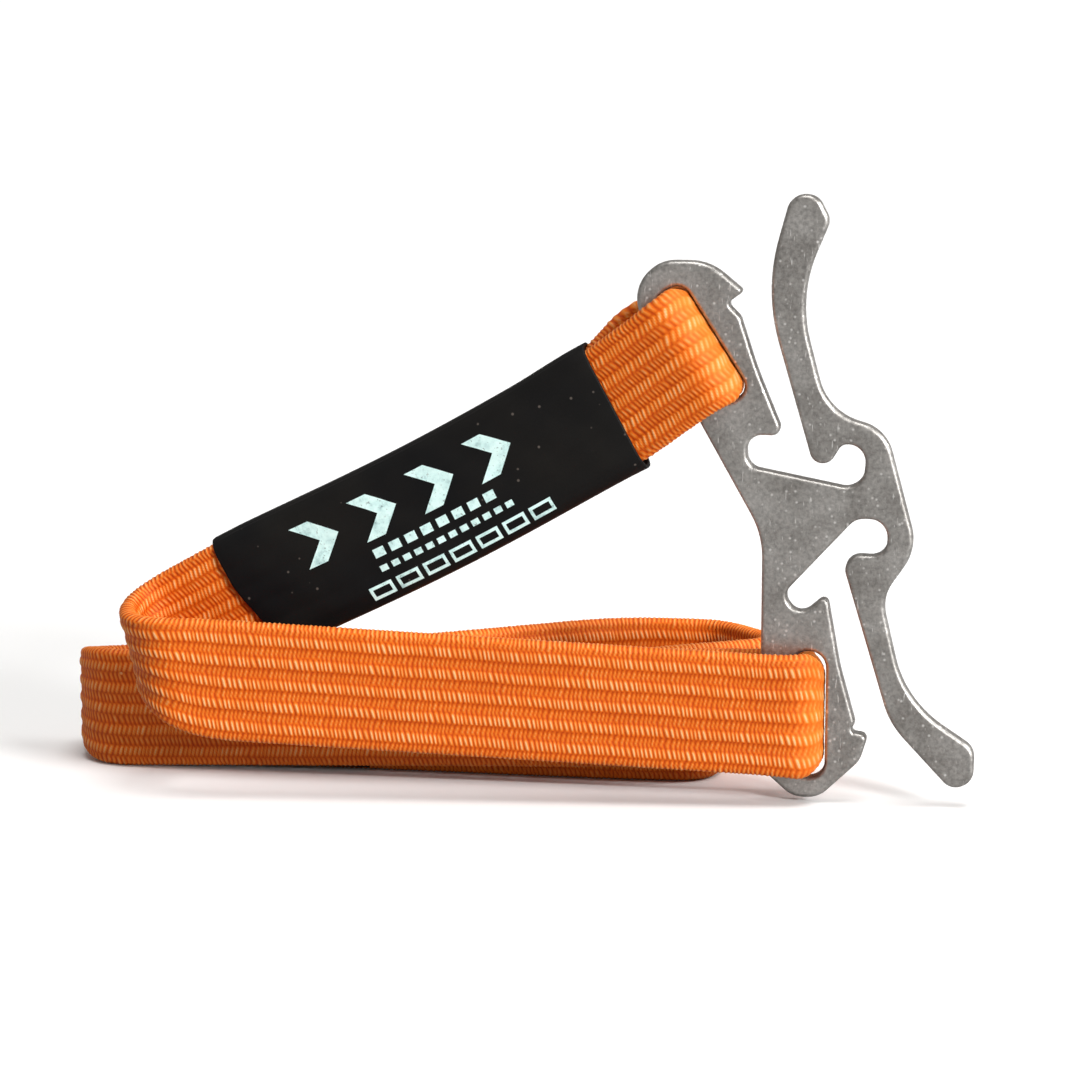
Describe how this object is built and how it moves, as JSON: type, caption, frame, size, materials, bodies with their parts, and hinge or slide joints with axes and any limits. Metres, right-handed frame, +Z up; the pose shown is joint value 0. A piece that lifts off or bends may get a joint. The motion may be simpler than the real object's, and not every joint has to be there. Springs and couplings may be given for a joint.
{
  "type": "tourniquet",
  "caption": "Elastic-strap tourniquet: a flat orange bungee strap with black shrink sleeves, threaded through a flat grey metal cleat with hooked arms and folded into a bundle.",
  "frame": {"origin": "middle of the footprint, on the surface that the bundle stands on", "axes": "+Z up, +X along the bundle from the far bend towards the cleat's arms, +Y back through the strap's folds, away from the printed sleeve"},
  "size_m": [0.15, 0.0605, 0.0968],
  "materials": {
    "cleat_metal": "tumbled, dull warm grey with fine scratches and bright rounded edges",
    "strap_weave": "braided nylon sheath in five ribs with slanted yarns, bright orange with a slight sheen",
    "rubber_strand": "natural latex rubber",
    "sleeve_black": "black heat-shrink sleeve, semi-matt",
    "thread_black": "black bonded nylon thread",
    "print_pale": "pale mint screen print"
  },
  "bodies": {
    "strap": {"strap_loop_sheath": "strap_weave", "loop_strand_1": "rubber_strand", "loop_strand_2": "rubber_strand", "loop_strand_3": "rubber_strand", "loop_strand_4": "rubber_strand", "loop_strand_5": "rubber_strand", "anchor_sleeve": "sleeve_black", "anchor_stitching": "thread_black", "sleeve_print": "print_pale", "strap_far_bend": "strap_weave"},
    "tail": {"tail_sheath": "strap_weave", "tail_strand_1": "rubber_strand", "tail_strand_2": "rubber_strand", "tail_strand_3": "rubber_strand", "tail_strand_4": "rubber_strand", "tail_strand_5": "rubber_strand", "tail_sleeve": "sleeve_black"},
    "cleat": {"cleat_plate": "cleat_metal"}
  },
  "joints": [
    {"name": "cleat_rock", "type": "hinge", "parent": "strap", "child": "cleat", "pos_m": [0.0451, -0.0145, 0.0141], "axis": [-0.2859, 0, 0.9583], "range_deg": [-8, 8]},
    {"name": "tail_fold", "type": "hinge", "parent": "strap", "child": "tail", "pos_m": [-0.0654, -0.0019, 0], "axis": [0, 0, 1], "range_deg": [0, 90], "deforming": ["strap_far_bend"]}
  ]
}
